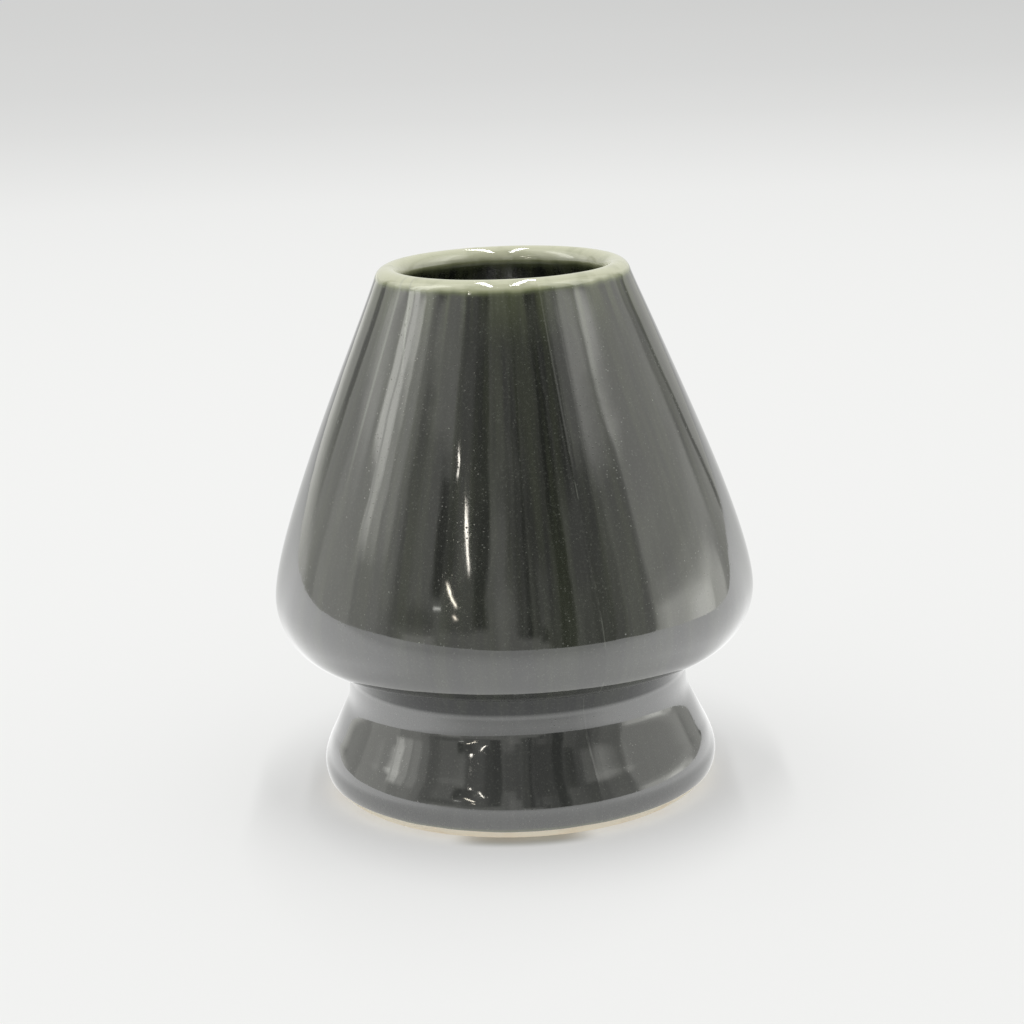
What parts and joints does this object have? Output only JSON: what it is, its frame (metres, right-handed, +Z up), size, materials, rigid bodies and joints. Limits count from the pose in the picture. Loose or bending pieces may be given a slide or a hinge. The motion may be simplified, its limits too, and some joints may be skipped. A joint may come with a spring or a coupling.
{
  "type": "tea whisk holder",
  "caption": "Glazed ceramic stand that holds a bamboo tea whisk in shape: a hollow cone with a rounded mouth over a waist and a flared foot.",
  "frame": {"origin": "centre of the foot ring, on the surface that the holder stands on", "axes": "+Z up along the axis of revolution, towards the mouth; +X and +Y are level and alike"},
  "size_m": [0.0644, 0.0644, 0.071],
  "materials": {
    "bare_clay": "unglazed fired cream clay, smooth and matt",
    "dark_glaze": "glossy dark grey-green glaze that breaks to pale celadon on the lip",
    "lining_glaze": "glossy dark green-grey lining glaze, pale where it meets the lip"
  },
  "bodies": {
    "root": {"clay_body": "bare_clay", "outer_glaze": "dark_glaze", "inner_glaze": "lining_glaze"}
  },
  "joints": []
}
